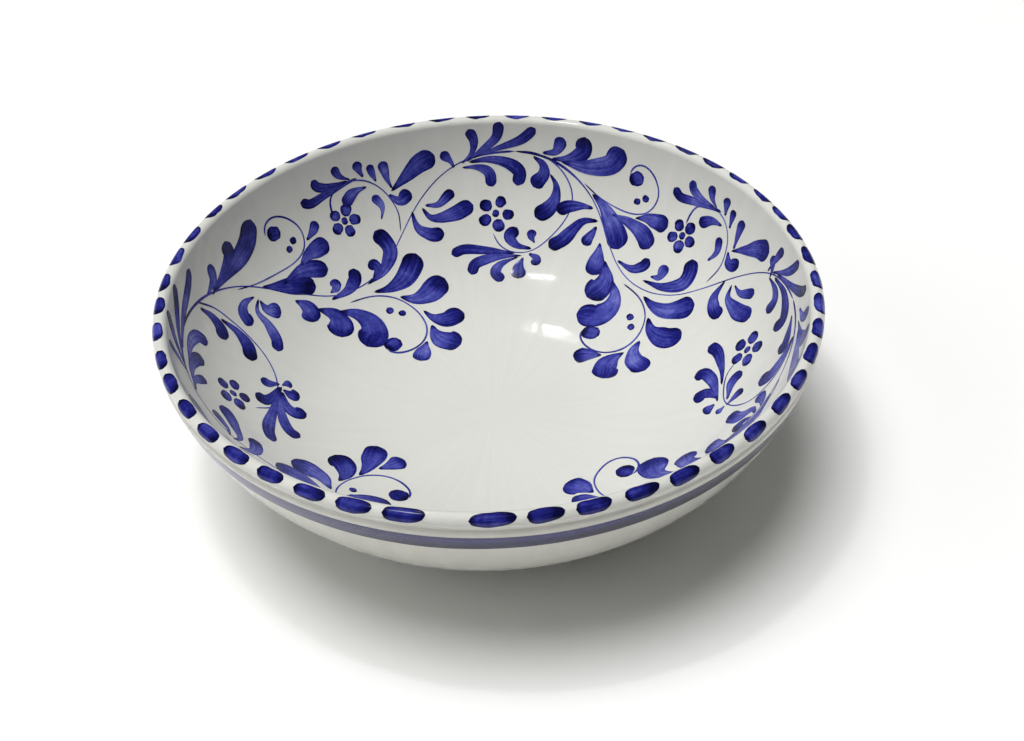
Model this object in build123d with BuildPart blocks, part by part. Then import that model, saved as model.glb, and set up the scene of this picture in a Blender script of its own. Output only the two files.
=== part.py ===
"""Hand-painted glazed serving bowl, in millimetres, +Z up.

The origin is the centre of the plane that the foot ring stands on. The bowl is a body of revolution about Z, and
the start of the row of rim dashes is on its front, which is -Y.

Every section line is a run of tangent arcs, drawn from the crest of the lip. Because the arcs are tangent, the same
run set in by the thickness of the glaze is the surface of the clay, and set out by the thickness of the paint it is
the surface of the paint.
"""

import os
from math import cos, radians, sin

from build123d import *

# Driving sizes
RIM_RADIUS = 165.0  # outermost, over the lip
LIP_RADIUS = 3.7  # the lip is a round roll
LIP_CENTRE_HEIGHT = 94.0
GLAZE = 0.5
PAINT = 0.3

# Each bend is (radius, turn in degrees), and a turn to the left is positive.
# Outside, from the crest out and down: the roll, the groove turned under it, the shoulder, the wall, the belly
# and the underside, which ends level.
OUTSIDE_BENDS = [(LIP_RADIUS, -128.0), (1.8, 62.0), (4.0, -39.0), (118.0, -31.8), (85.0, -30.2), (200.0, -13.0)]
# Inside, from the crest in and down: the roll, the wall, its flatter foot, the curve into the floor and the edge
# of the level floor.
INSIDE_BENDS = [(LIP_RADIUS, 77.5), (95.0, -30.0), (130.0, -14.0), (90.0, -20.5), (170.0, -13.0)]
OUTWARD = 0.0
INWARD = 180.0

LIP_CENTRE_RADIUS = RIM_RADIUS - LIP_RADIUS
CREST = Vector(LIP_CENTRE_RADIUS, LIP_CENTRE_HEIGHT + LIP_RADIUS)
LIP_JOIN_HEIGHT = 89.0  # the lip roll sits on the wall here, level with the groove

# Foot ring: radii of its faces at the standing plane and at its root
FOOT_OUTER = 71.0
FOOT_INNER = 65.0
FOOT_FLARE = 2.0
FOOT_ROOT_HEIGHT = 11.0
FOOT_EDGE = 1.0
BARE_FOOT_HEIGHT = 2.0  # the glaze is wiped off below this

# Painted band on the outside wall, and the row of dashes on the lip
BAND_LOW = 75.6
BAND_HIGH = 86.0
BAND_PULLS = 8
DASH_COUNT = 48
DASH_START_ANGLE = 268.4
DASH_CLOSING_GAP = 5.9  # extra degrees where the painter's round closes
# The painter's spacing swings slowly: (times round the lip, size in degrees, lead in degrees)
DASH_SWINGS = [(1, 1.8, 80.0), (2, 1.4, -43.0)]
DASH_LENGTH = 15.2
DASH_WIDTH = 8.8
DASH_CENTRE_RADIUS = 163.3
PAINT_SLEEVE_LOW = 90.5
ABOVE_ALL = 110.0
BEYOND_ALL = 2 * RIM_RADIUS


def run_of_arcs(bends, heading, material_side, inset):
    """Draws tangent arcs from the crest of the lip and returns the last point.

    inset moves the whole run into the wall, which lies on its left where material_side is 1 and on its right
    where it is -1.
    """
    shift = inset * material_side
    left = Vector(-sin(radians(heading)), cos(radians(heading)))
    point = CREST + left * shift
    for radius, turn in bends:
        size = radius - shift * (1 if turn > 0 else -1)
        tangent = (cos(radians(heading)), sin(radians(heading)))
        arc = JernArc(start=point, tangent=tangent, radius=size, arc_size=turn)
        point = arc @ 1
        heading += turn
    return point


def outside_line(inset):
    return run_of_arcs(OUTSIDE_BENDS, OUTWARD, -1, inset)


def inside_line(inset):
    return run_of_arcs(INSIDE_BENDS, INWARD, 1, inset)


def clay_section():
    """The section of wall, floor and lip, without the foot ring."""
    with BuildSketch() as section:
        with BuildLine():
            underside_end = outside_line(GLAZE)
            floor_end = inside_line(GLAZE)
            Polyline(underside_end, (0, underside_end.Y), (0, floor_end.Y), floor_end)
        make_face()
    return section.sketch


def coat_section(line, near, far):
    """The section of a coat between two insets of one line, from the crest of the lip to the axis."""
    with BuildSketch() as section:
        with BuildLine():
            near_end = line(near)
            far_end = line(far)
            Line(CREST - Vector(0, near), CREST - Vector(0, far))
            Polyline(near_end, (0, near_end.Y), (0, far_end.Y), far_end)
        make_face()
    return section.sketch


def foot_section(skin):
    """The section of the foot ring, with a skin of this thickness on its two sides."""
    with BuildSketch() as section:
        with BuildLine():
            Polyline(
                (FOOT_INNER - skin, 0),
                (FOOT_OUTER + skin, 0),
                (FOOT_OUTER + FOOT_FLARE + skin, FOOT_ROOT_HEIGHT),
                (FOOT_INNER - FOOT_FLARE - skin, FOOT_ROOT_HEIGHT),
                close=True,
            )
        make_face()
    return section.sketch


def keep_heights(low, high):
    """Keeps what lies between two heights of the section being drawn."""
    with Locations((0, (low + high) / 2)):
        Rectangle(2 * BEYOND_ALL, high - low, mode=Mode.INTERSECT)


def trim_by_width(half_width, mode):
    """Keeps with Mode.INTERSECT, or drops with Mode.SUBTRACT, what lies nearer the axis than half_width."""
    with Locations((0, ABOVE_ALL / 2)):
        Rectangle(2 * half_width, ABOVE_ALL, mode=mode)


def dash_angle(dash):
    """The angle round the lip of the middle of a dash."""
    pitch = (360 - DASH_CLOSING_GAP) / DASH_COUNT
    angle = DASH_START_ANGLE + dash * pitch
    for turns, size, lead in DASH_SWINGS:
        angle += size * sin(radians(turns * 360 * dash / DASH_COUNT + lead))
    return angle


clay = clay_section()
outside_coat = coat_section(outside_line, 0, GLAZE)
outside_paint = coat_section(outside_line, -PAINT, 0)
inside_coat = coat_section(inside_line, 0, GLAZE)
inside_paint = coat_section(inside_line, -PAINT, 0)

# Thrown clay: wall and floor in one, up to the groove under the lip
with BuildPart() as clay_bowl:
    with BuildSketch(Plane.XZ):
        add(clay)
        keep_heights(0, LIP_JOIN_HEIGHT)
    revolve(axis=Axis.Z)

# Rolled lip, which closes the top of the wall
with BuildPart() as lip_roll:
    with BuildSketch(Plane.XZ):
        add(clay)
        keep_heights(LIP_JOIN_HEIGHT, ABOVE_ALL)
    revolve(axis=Axis.Z)

# Foot ring, luted on under the floor, with its standing edges eased
with BuildPart() as foot_ring:
    with BuildSketch(Plane.XZ):
        add(foot_section(0))
    revolve(axis=Axis.Z)
    chamfer(foot_ring.edges().group_by(Axis.Z)[0], FOOT_EDGE)
    add(clay_bowl.part, mode=Mode.SUBTRACT)

# Glaze poured over the inside, up to the crest of the lip
with BuildPart() as inside_glaze:
    with BuildSketch(Plane.XZ):
        add(inside_coat)
    revolve(axis=Axis.Z)

# Glaze over the outside, from the crest down to the wiped edge of the foot
with BuildPart() as outside_glaze:
    with BuildSketch(Plane.XZ):
        add(outside_coat)
        add(foot_section(GLAZE))
        trim_by_width(FOOT_INNER, Mode.SUBTRACT)
        keep_heights(BARE_FOOT_HEIGHT, ABOVE_ALL)
    revolve(axis=Axis.Z)
    add([clay_bowl.part, foot_ring.part], mode=Mode.SUBTRACT)

# Glaze in the recess inside the foot ring
with BuildPart() as recess_glaze:
    with BuildSketch(Plane.XZ):
        add(outside_coat)
        add(foot_section(GLAZE))
        trim_by_width(FOOT_INNER, Mode.INTERSECT)
        keep_heights(BARE_FOOT_HEIGHT, FOOT_ROOT_HEIGHT)
    revolve(axis=Axis.Z)
    add([clay_bowl.part, foot_ring.part], mode=Mode.SUBTRACT)

# Cobalt band, laid on the outside glaze in equal pulls of the brush that run into each other
with BuildPart() as outside_band:
    with BuildSketch(Plane.XZ):
        add(outside_paint)
        keep_heights(BAND_LOW, BAND_HIGH)
    pull_angle = 360 / BAND_PULLS
    first_pull = revolve(axis=Axis.Z, revolution_arc=pull_angle)
    for pull in range(1, BAND_PULLS):
        add(first_pull.rotate(Axis.Z, pull * pull_angle), clean=False)

# Cobalt dashes, one touch of a round brush each, over the lip
with BuildPart() as lip_dashes:
    with BuildSketch(Plane.XZ):
        add(outside_paint)
        add(inside_paint)
        keep_heights(PAINT_SLEEVE_LOW, ABOVE_ALL)
    revolve(axis=Axis.Z)
    with BuildSketch(Plane.XY.offset(PAINT_SLEEVE_LOW)):
        for dash in range(DASH_COUNT):
            with PolarLocations(DASH_CENTRE_RADIUS, 1, start_angle=dash_angle(dash)):
                Ellipse(DASH_WIDTH / 2, DASH_LENGTH / 2)
    extrude(amount=ABOVE_ALL - PAINT_SLEEVE_LOW, mode=Mode.INTERSECT)

pieces = {
    "clay_bowl": clay_bowl,
    "lip_roll": lip_roll,
    "foot_ring": foot_ring,
    "inside_glaze": inside_glaze,
    "outside_glaze": outside_glaze,
    "recess_glaze": recess_glaze,
    "outside_band": outside_band,
    "lip_dashes": lip_dashes,
}

os.makedirs("parts", exist_ok=True)
for name, piece in pieces.items():
    piece.part.label = name
    export_step(piece.part, f"parts/{name}.step")
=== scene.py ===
"""Looks of the hand-painted serving bowl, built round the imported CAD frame.

The bowl is a body of revolution, so a place on its surface is an angle and a path. The angle is in degrees
anticlockwise from +X, seen from above. The path is in millimetres along the section from the crest of the
lip: inside it is positive and runs down to the middle of the floor, and outside it is negative. Sizes are in
millimetres until a mesh is made, in metres.
"""

from math import atan2, ceil, cos, degrees, hypot, pi, radians, sin

import bpy
import numpy as np
from mathutils import Matrix, Vector


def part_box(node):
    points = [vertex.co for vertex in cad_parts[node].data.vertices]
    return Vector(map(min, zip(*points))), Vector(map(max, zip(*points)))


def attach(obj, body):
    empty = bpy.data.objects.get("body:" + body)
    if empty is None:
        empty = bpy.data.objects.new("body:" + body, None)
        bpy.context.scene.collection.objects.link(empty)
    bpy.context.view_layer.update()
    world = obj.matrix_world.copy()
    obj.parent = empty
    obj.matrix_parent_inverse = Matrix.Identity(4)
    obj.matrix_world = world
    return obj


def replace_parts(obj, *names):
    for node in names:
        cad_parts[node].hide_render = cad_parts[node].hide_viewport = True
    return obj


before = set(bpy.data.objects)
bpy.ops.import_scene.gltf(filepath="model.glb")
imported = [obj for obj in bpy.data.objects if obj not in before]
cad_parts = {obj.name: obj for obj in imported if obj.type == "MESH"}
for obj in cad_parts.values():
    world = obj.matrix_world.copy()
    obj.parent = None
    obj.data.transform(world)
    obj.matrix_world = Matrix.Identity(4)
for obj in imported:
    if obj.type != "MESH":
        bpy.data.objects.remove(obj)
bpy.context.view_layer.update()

MM = 0.001
SEED = 20

# The section of the bowl, as in the CAD: tangent arcs from the crest, each (radius, turn in degrees)
LIP_RADIUS = 3.7
OUTSIDE_BENDS = [
    (LIP_RADIUS, -128.0), (1.8, 62.0), (4.0, -39.0), (118.0, -31.8), (85.0, -30.2), (200.0, -13.0),
]
INSIDE_BENDS = [(LIP_RADIUS, 77.5), (95.0, -30.0), (130.0, -14.0), (90.0, -20.5), (170.0, -13.0)]
ARC_STEP = 0.25
GROOVE_END = -13.0  # the path where the wall below the groove begins
SHOULDER = -20.0  # from this path down to the underside the radius only falls
GLAZE = 0.5
FOOT_OUTER = 71.0
FOOT_INNER = 65.0
FOOT_SLOPE = 2.0 / 11.0  # the foot grows thicker by this much each side for each millimetre up
BARE_FOOT_HEIGHT = 2.0
SEGMENTS = 320  # steps round the bowl

rng = np.random.default_rng(SEED)


# ---------------------------------------------------------------- the surface of the bowl


def left_of(heading):
    """The unit vector on the left of a heading, in the plane of the section."""
    return np.array([-sin(radians(heading)), cos(radians(heading))])


def run_of_arcs(crest, bends, heading, air_side):
    """Path lengths, points and outward normals along tangent arcs that start at the crest.

    air_side is 1 where the air is on the left of the run and -1 where it is on the right.
    """
    paths = [0.0]
    points = [crest]
    normals = [left_of(heading) * air_side]
    for radius, turn in bends:
        side = 1 if turn > 0 else -1
        centre = points[-1] + left_of(heading) * radius * side
        length = radius * radians(abs(turn))
        steps = ceil(length / ARC_STEP)
        start = paths[-1]
        for step in range(1, steps + 1):
            angle = heading + turn * step / steps
            points.append(centre - left_of(angle) * radius * side)
            normals.append(left_of(angle) * air_side)
            paths.append(start + length * step / steps)
        heading += turn
    return np.array(paths), np.array(points), np.array(normals)


def section_table():
    """Columns of path, radius, height and the two parts of the normal, from the underside to the middle."""
    _, outside_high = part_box("outside_glaze")
    crest = np.array([outside_high.x / MM - LIP_RADIUS, outside_high.z / MM])
    out_path, out_points, out_normals = run_of_arcs(crest, OUTSIDE_BENDS, 0.0, 1)
    in_path, in_points, in_normals = run_of_arcs(crest, INSIDE_BENDS, 180.0, -1)
    middle_path = in_path[-1] + in_points[-1][0]
    middle = [middle_path, 0.0, in_points[-1][1], 0.0, 1.0]
    underside_path = -out_path[-1] - out_points[-1][0]
    underside = [underside_path, 0.0, out_points[-1][1], 0.0, -1.0]
    outside = np.column_stack([-out_path, out_points, out_normals])[:0:-1]
    inside = np.column_stack([in_path, in_points, in_normals])
    return np.vstack([[underside], outside, inside, [middle]])


SECTION = section_table()
MIDDLE_PATH = SECTION[-1, 0]
UNDERSIDE_PATH = SECTION[0, 0]


def radius_at(path):
    return np.interp(path, SECTION[:, 0], SECTION[:, 1])


def outside_path_at_height(height):
    """The path of a height on the outside wall, below the groove under the lip."""
    wall = SECTION[(SECTION[:, 0] < GROOVE_END) & (SECTION[:, 0] > UNDERSIDE_PATH + 1.0)]
    return float(np.interp(height, wall[:, 2], wall[:, 0]))


def outside_path_at_radius(radius):
    """The path of a radius on the underside."""
    wall = SECTION[SECTION[:, 0] < SHOULDER]
    return float(np.interp(radius, wall[:, 1], wall[:, 0]))


# Slow waves that the potter's hands left: turns round the bowl, size, lead and drift with the path
SLOW_WAVES = [(2, 0.045, 0.7, 0.011), (3, 0.035, 2.1, -0.017), (5, 0.02, 4.0, 0.023), (8, 0.008, 1.3, -0.03)]
RING_SIZE = 0.012
RING_SPACING = 11.0
CALM_RADIUS = 45.0  # the waves die down from here to the middle of the floor
CALM_PATH = 12.0  # the rings die down from here to the crest


def unevenness(angle, path):
    """How far the thrown surface lies inside the true form. It is never proud of it."""
    turn = np.radians(angle)
    waves = 0.0
    for turns, size, lead, drift in SLOW_WAVES:
        waves = waves + size * (1 + np.cos(turns * turn + lead + drift * path))
    rings = RING_SIZE * (1 + np.sin(2 * pi * path / RING_SPACING + 0.8 * np.sin(path / 17.0)))
    near_middle = np.clip(radius_at(path) / CALM_RADIUS, 0, 1)
    return waves * near_middle**2 + rings * np.clip(np.abs(path) / CALM_PATH, 0, 1)


def ring(radius, height, angles):
    """Points at an angle or angles round the axis."""
    turn = np.radians(angles)
    return np.stack(np.broadcast_arrays(radius * np.cos(turn), radius * np.sin(turn), height), axis=-1)


def surface(angle, path, lift=0.0, true_form=False):
    """Points, in millimetres, at a lift above the glaze. The true form is without the unevenness."""
    radius, height, out, up = [np.interp(path, SECTION[:, 0], SECTION[:, column]) for column in range(1, 5)]
    offset = lift - (0.0 if true_form else unevenness(angle, path))
    return ring(radius + out * offset, height + up * offset, angle)


# ---------------------------------------------------------------- materials

GLAZE_IOR = 1.5


def colour(red, green, blue):
    """A scene colour from the usual 0 to 255 display values."""
    parts = []
    for value in (red, green, blue):
        share = value / 255
        parts.append(share / 12.92 if share <= 0.04045 else ((share + 0.055) / 1.055) ** 2.4)
    return (*parts, 1.0)


class Nodes:
    """A short way to write a node material."""

    def __init__(self, name):
        self.material = bpy.data.materials.new(name)
        self.material.use_nodes = True
        self.tree = self.material.node_tree
        self.shader = self.tree.nodes["Principled BSDF"]

    def add(self, kind, **settings):
        node = self.tree.nodes.new(kind)
        for key, value in settings.items():
            setattr(node, key, value)
        return node

    def set_input(self, node, key, value):
        """Links a socket, or sets a plain value, on the input of that name or number."""
        if isinstance(value, bpy.types.NodeSocket):
            self.tree.links.new(value, node.inputs[key])
        elif value is not None:
            node.inputs[key].default_value = value

    def wired(self, kind, inputs, output=0, **settings):
        """Adds a node, sets its inputs and returns one of its outputs."""
        node = self.add(kind, **settings)
        for key, value in inputs.items():
            self.set_input(node, key, value)
        return node.outputs[output]

    def math(self, operation, first, second=None, third=None):
        return self.wired("ShaderNodeMath", {0: first, 1: second, 2: third}, operation=operation)

    def total(self, start, *parts):
        """The start, with each (amount, share) of the parts added to it."""
        for amount, share in parts:
            start = self.math("MULTIPLY_ADD", amount, share, start)
        return start

    def attribute(self, name, output="Fac"):
        return self.wired("ShaderNodeAttribute", {}, output, attribute_name=name)

    def place(self):
        return self.wired("ShaderNodeTexCoord", {}, "Object")

    def stretched(self, vector, scale):
        return self.wired("ShaderNodeMapping", {"Vector": vector, "Scale": scale})

    def vector(self, x, y, z):
        return self.wired("ShaderNodeCombineXYZ", {0: x, 1: y, 2: z})

    def noise(self, vector, scale, detail=2.0, roughness=0.5):
        inputs = {"Vector": vector, "Scale": scale, "Detail": detail, "Roughness": roughness}
        return self.wired("ShaderNodeTexNoise", inputs)

    def cells(self, vector, scale):
        return self.wired("ShaderNodeTexVoronoi", {"Vector": vector, "Scale": scale}, "Distance")

    def remap(self, value, low, high, to_low=0.0, to_high=1.0):
        """Eases a value from one range to another, and holds it there beyond the ends."""
        inputs = {0: value, 1: low, 2: high, 3: to_low, 4: to_high}
        return self.wired("ShaderNodeMapRange", inputs, interpolation_type="SMOOTHSTEP")

    def ramp(self, value, *stops):
        """A colour ramp of (position, display colour) stops."""
        node = self.add("ShaderNodeValToRGB")
        elements = node.color_ramp.elements
        while len(elements) < len(stops):
            elements.new(0.5)
        for element, (position, shade) in zip(elements, stops):
            element.position = position
            element.color = colour(*shade)
        self.set_input(node, 0, value)
        return node.outputs[0]

    def mix(self, share, first, second):
        return self.wired("ShaderNodeMix", {0: share, 6: first, 7: second}, 2, data_type="RGBA")

    def bump(self, height, distance):
        return self.wired("ShaderNodeBump", {"Strength": 1.0, "Distance": distance, "Height": height})

    def finish(self, **inputs):
        """Sets the shader's sockets: spaces in their names are written as underscores."""
        for key, value in inputs.items():
            self.set_input(self.shader, key.replace("_", " "), value)
        return self.material


def glaze_skin(nodes, place):
    """The faint orange-peel of a fired glaze, as a normal."""
    ripple = nodes.noise(place, 260.0, 1.0)
    swell = nodes.noise(place, 60.0, 0.0)
    height = nodes.math("MULTIPLY_ADD", swell, 2.0, ripple)
    return nodes.bump(height, 0.00004)


def white_glaze():
    """Tin-opacified white glaze: slightly warm, greyer outside as painted shade, with a slow mottle and dark
    specks.
    """
    nodes = Nodes("white_tin_glaze")
    place = nodes.place()
    runs = nodes.noise(nodes.attribute("unrolled", "Vector"), 1.0, 3.0)
    mottle = nodes.math("MULTIPLY_ADD", runs, 0.6, nodes.math("MULTIPLY", nodes.noise(place, 22.0, 3.0), 0.4))
    inside_white = nodes.ramp(mottle, (0.35, (213, 214, 207)), (0.65, (218, 218, 212)))
    # The outside colour is greyer: painted shade on the outer wall, the foot and the underside.
    painted_shade_white = nodes.ramp(mottle, (0.35, (199, 199, 190)), (0.65, (208, 207, 199)))
    base = nodes.mix(nodes.attribute("outside"), inside_white, painted_shade_white)
    specks = nodes.cells(place, 70.0)
    sparse = nodes.noise(place, 45.0, 0.0)
    small = nodes.remap(specks, 0.02, 0.035, 1.0, 0.0)
    speck = nodes.math("MULTIPLY", small, nodes.remap(sparse, 0.62, 0.66))
    shade = nodes.mix(nodes.math("MULTIPLY", speck, 0.45), base, colour(150, 140, 125))
    rough = nodes.remap(runs, 0.3, 0.7, 0.07, 0.11)
    return nodes.finish(
        Base_Color=shade,
        Roughness=rough,
        Normal=glaze_skin(nodes, place),
        IOR=GLAZE_IOR,
        Specular_IOR_Level=0.5,
    )


def cobalt(name, streak_across, base_load, head_pool):
    """Cobalt painted into the glaze. It pools at the edges and the two ends of each touch of the brush.

    streak_across is how fine the streaks of the hairs are, base_load how dark the paint is to begin with, and
    head_pool how much darker it is at the head.
    """
    nodes = Nodes(name)
    place = nodes.place()
    along = nodes.attribute("along")
    across = nodes.attribute("across")
    seed = nodes.attribute("seed")
    hairs = nodes.vector(
        nodes.math("MULTIPLY_ADD", across, streak_across, nodes.math("MULTIPLY", seed, 37.0)),
        nodes.math("MULTIPLY", along, 0.9),
        nodes.math("MULTIPLY", seed, 91.0),
    )
    streak = nodes.math("SUBTRACT", nodes.noise(hairs, 1.0, 4.0, 0.6), 0.5)
    mottle = nodes.math("SUBTRACT", nodes.noise(place, 420.0, 3.0), 0.5)
    wash = nodes.math("SUBTRACT", nodes.noise(place, 75.0, 1.0), 0.5)
    edge = nodes.remap(nodes.math("ABSOLUTE", across), 0.5, 1.0)
    pool = nodes.remap(along, 0.55, 0.97)
    tail = nodes.remap(along, 0.02, 0.2, 1.0, 0.0)
    load = nodes.total(base_load, (seed, 0.2), (streak, 1.0), (mottle, 0.45), (wash, 0.8))
    load = nodes.total(load, (edge, 0.2), (pool, head_pool), (tail, 0.6))
    stops = [(0.0, (112, 117, 192)), (0.3, (68, 72, 160)), (0.64, (28, 31, 118)), (1.0, (4, 5, 54))]
    return nodes.finish(
        Base_Color=nodes.ramp(load, *stops),
        Roughness=nodes.remap(mottle, -0.25, 0.25, 0.11, 0.2),
        Normal=glaze_skin(nodes, place),
        IOR=GLAZE_IOR,
        Specular_IOR_Level=0.3,
    )


def band_cobalt():
    """The wash of the band, dragged round by a wide brush, darker towards its lower edge and darkest on one
    side, where a dark reflection is painted in.
    """
    nodes = Nodes("cobalt_band_wash")
    place = nodes.place()
    across = nodes.attribute("across")
    # pool holds the darkening towards the band's lower edge and the painted dark reflection on one side
    pool = nodes.attribute("pool")
    fine = nodes.noise(nodes.stretched(place, (9.0, 9.0, 900.0)), 1.0, 3.0, 0.6)
    broad = nodes.noise(nodes.stretched(place, (5.0, 5.0, 260.0)), 1.0, 1.0)
    patches = nodes.noise(nodes.stretched(place, (14.0, 14.0, 60.0)), 1.0, 2.0)
    edge = nodes.remap(nodes.math("ABSOLUTE", across), 0.6, 1.0)
    load = nodes.total(0.0, (edge, 0.12), (fine, 0.45), (broad, 0.55), (patches, 0.35), (pool, 0.4))
    stops = [(0.4, (92, 95, 152)), (0.7, (48, 48, 112)), (1.0, (14, 14, 56))]
    return nodes.finish(
        Base_Color=nodes.ramp(load, *stops),
        Roughness=nodes.remap(fine, 0.3, 0.7, 0.12, 0.22),
        Normal=glaze_skin(nodes, place),
        IOR=GLAZE_IOR,
        Specular_IOR_Level=0.5,
    )


def fired_clay():
    """Bare fired clay: pale buff, gritty, with a few iron specks."""
    nodes = Nodes("fired_buff_clay")
    place = nodes.place()
    body = nodes.noise(place, 55.0, 4.0)
    base = nodes.ramp(body, (0.3, (196, 160, 124)), (0.7, (216, 186, 152)))
    speck = nodes.remap(nodes.cells(place, 420.0), 0.12, 0.2, 1.0, 0.0)
    chosen = nodes.math("MULTIPLY", speck, nodes.remap(nodes.noise(place, 160.0, 0.0), 0.56, 0.62))
    grit = nodes.noise(place, 1100.0, 4.0, 0.7)
    return nodes.finish(
        Base_Color=nodes.mix(chosen, base, colour(104, 70, 48)),
        Roughness=nodes.remap(grit, 0.3, 0.7, 0.72, 0.9),
        Normal=nodes.bump(grit, 0.00012),
        Specular_IOR_Level=0.3,
    )


def pale_floor():
    nodes = Nodes("pale_floor")
    tone = nodes.noise(nodes.place(), 3.0, 2.0)
    return nodes.finish(
        Base_Color=nodes.ramp(tone, (0.3, (249, 249, 248)), (0.7, (251, 251, 250))),
        Roughness=0.9,
        Specular_IOR_Level=0.1,
    )


def pale_backdrop():
    nodes = Nodes("pale_backdrop")
    return nodes.finish(
        Base_Color=colour(0, 0, 0),
        Specular_IOR_Level=0.0,
        Emission_Color=colour(254, 254, 253),
        Emission_Strength=1.0,
    )


# ---------------------------------------------------------------- meshes

SHARP_ANGLE = 50.0


def make_piece(name, points, faces, material, attributes):
    """A smooth-shaded closed mesh from points in millimetres, riding on the bowl's one body."""
    mesh = bpy.data.meshes.new(name)
    mesh.from_pydata((np.asarray(points) * MM).tolist(), [], faces)
    mesh.update()
    mesh.shade_smooth()
    mesh.set_sharp_from_angle(angle=radians(SHARP_ANGLE))
    for key, values in attributes.items():
        values = np.asarray(values, np.float32)
        if values.ndim == 1:
            mesh.attributes.new(key, "FLOAT", "POINT").data.foreach_set("value", values)
        else:
            mesh.attributes.new(key, "FLOAT_VECTOR", "POINT").data.foreach_set("vector", values.ravel())
    mesh.materials.append(material)
    piece = bpy.data.objects.new(name, mesh)
    bpy.context.scene.collection.objects.link(piece)
    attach(piece, "root")
    return piece


def quads_between(low, high, around):
    """The faces between two rings of points, given the numbers of their first points."""
    faces = []
    for step in range(around):
        after = (step + 1) % around
        faces.append((low + step, high + step, high + after, low + after))
    return faces


def between_poles(rings, first_pole, last_pole):
    """Points and faces of a closed shell of rings, from one pole to the other.

    Its faces look outwards where the rings run outwards from a pole that is seen from above.
    """
    count, around = rings.shape[:2]
    points = np.vstack([rings.reshape(-1, 3), [first_pole, last_pole]])
    first = count * around
    last = first + 1
    faces = []
    for step in range(around):
        after = (step + 1) % around
        faces.append((first, step, after))
        for row in range(count - 1):
            low = row * around
            high = low + around
            faces.append((low + step, high + step, high + after, low + after))
        end = (count - 1) * around
        faces.append((end + step, last, end + after))
    return points, faces


def closed_rings(rings):
    """Points and faces of rings joined one to the next, and the last to the first."""
    count, around = rings.shape[:2]
    faces = []
    for row in range(count):
        faces += quads_between(row * around, (row + 1) % count * around, around)
    return rings.reshape(-1, 3), faces


def eased(start, end, spacing):
    """Values from start up to end, evenly spaced at about the spacing, without the end."""
    return np.linspace(start, end, max(2, ceil(abs(end - start) / spacing)), endpoint=False)


ROUND = np.arange(SEGMENTS) * 360.0 / SEGMENTS
RUNS_ROUND = 22.0
RUNS_DOWN = 0.012
RUNS_FADE = 3.0  # the runs fade out this near the axis
PAINTED_SHADE_START = 5.0  # the greyer painted shade on the outside coat begins this far outside the crest
PAINTED_SHADE_BLEND = 6.0


def glaze_attributes(points, outside):
    """Places for the glaze's runs, narrow round the bowl and long down it, and where the painted shade of the
    outside lies.
    """
    flat = np.hypot(points[:, 0], points[:, 1])
    radius = np.maximum(flat, 1e-6)
    reach = RUNS_ROUND * np.clip(flat / RUNS_FADE, 0, 1) / radius
    down = RUNS_DOWN * (flat + 2 * points[:, 2])
    unrolled = np.column_stack([points[:, 0] * reach, points[:, 1] * reach, down])
    return {"unrolled": unrolled, "outside": outside}


FOOT_ROOT_OUTER = 8.0  # about the height where the outer side of the foot meets the underside
FOOT_ROOT_INNER = 6.5
FOOT_SEAT_OUTER = 0.5  # the clay side of the glaze ends this far from the root of the foot
FOOT_SEAT_INNER = 0.6
FOOT_ARRIVAL = 3.0  # the glaze starts to turn down the foot this far from it
FOOT_FILLET_DROP = 2.2
FOOT_FILLET_STEPS = 7
WIPED_EDGE_LIFT = 0.15
WIPED_EDGE_WANDER = 0.22
LIP_END = 14.0  # the rings of the lip are fine to this path on both sides of the crest


def foot_side_rings(foot_radius, skin, slope, corner_radius):
    """Rings of glaze that turn through a pooled corner and run down a side of the foot to the wiped edge."""
    corner_path = outside_path_at_radius(corner_radius)
    corner_height = float(np.interp(corner_path, SECTION[:, 0], SECTION[:, 2]))
    side_top = corner_height - FOOT_FILLET_DROP
    side_top_radius = foot_radius + skin + slope * side_top
    control = (foot_radius + skin + slope * corner_height, corner_height)
    rings = []
    for step in range(1, FOOT_FILLET_STEPS + 1):
        share = step / FOOT_FILLET_STEPS
        weights = ((1 - share) ** 2, 2 * share * (1 - share), share**2)
        radius = weights[0] * corner_radius + weights[1] * control[0] + weights[2] * side_top_radius
        height = weights[0] * corner_height + weights[1] * control[1] + weights[2] * side_top
        rings.append(ring(radius, height, ROUND))
    turn = np.radians(ROUND)
    wander = WIPED_EDGE_WANDER * (1 + 0.6 * np.sin(turn * 5 + 1.1) + 0.4 * np.sin(turn * 13 + 0.4))
    for share in (0.25, 0.5, 0.75, 0.92, 1.0):
        height = side_top + (BARE_FOOT_HEIGHT + WIPED_EDGE_LIFT + wander - side_top) * share
        rings.append(ring(foot_radius + skin + slope * height, height, ROUND))
    for depth, drop in ((0.7, 0.09), (0.3, 0.15), (0.0, 0.15)):
        height = BARE_FOOT_HEIGHT + WIPED_EDGE_LIFT + wander - drop
        rings.append(ring(foot_radius + skin * depth + slope * height, height, ROUND))
    return rings


def clay_side(paths):
    """Rings where the glaze meets the clay."""
    return [surface(ROUND, path, -GLAZE, true_form=True) for path in paths]


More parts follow.
